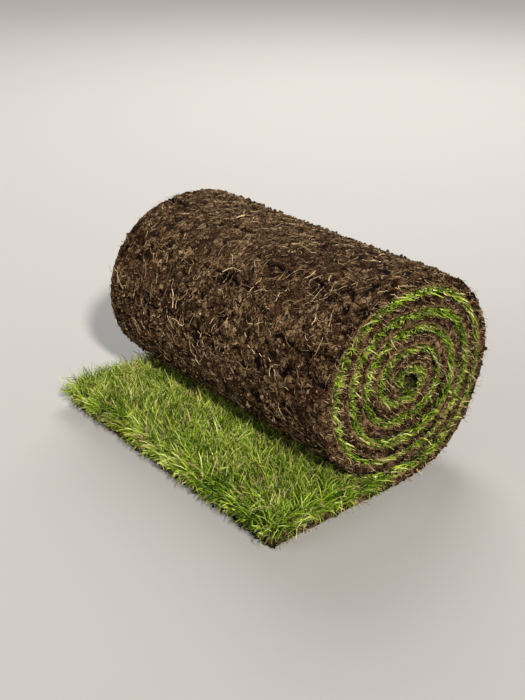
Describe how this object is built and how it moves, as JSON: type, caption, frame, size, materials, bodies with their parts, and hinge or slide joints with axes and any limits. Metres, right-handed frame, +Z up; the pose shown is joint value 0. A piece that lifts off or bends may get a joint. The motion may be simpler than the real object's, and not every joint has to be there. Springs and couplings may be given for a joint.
{
  "type": "roll of turf",
  "caption": "Strip of grass turf wound up grass side in, lying on its side with the end of the strip laid out on the floor.",
  "frame": {"origin": "on the floor, under the middle of the roll's length and of its depth with the free end of the strip", "axes": "+X along the roll, +Z up, -Y towards the free end of the strip, which lies on the floor grass side up"},
  "size_m": [0.4, 0.3244, 0.249],
  "materials": {
    "soil": "matte",
    "grass": "satin",
    "roots": "matte"
  },
  "bodies": {
    "root": {"turf_roll": "soil"}
  },
  "joints": []
}
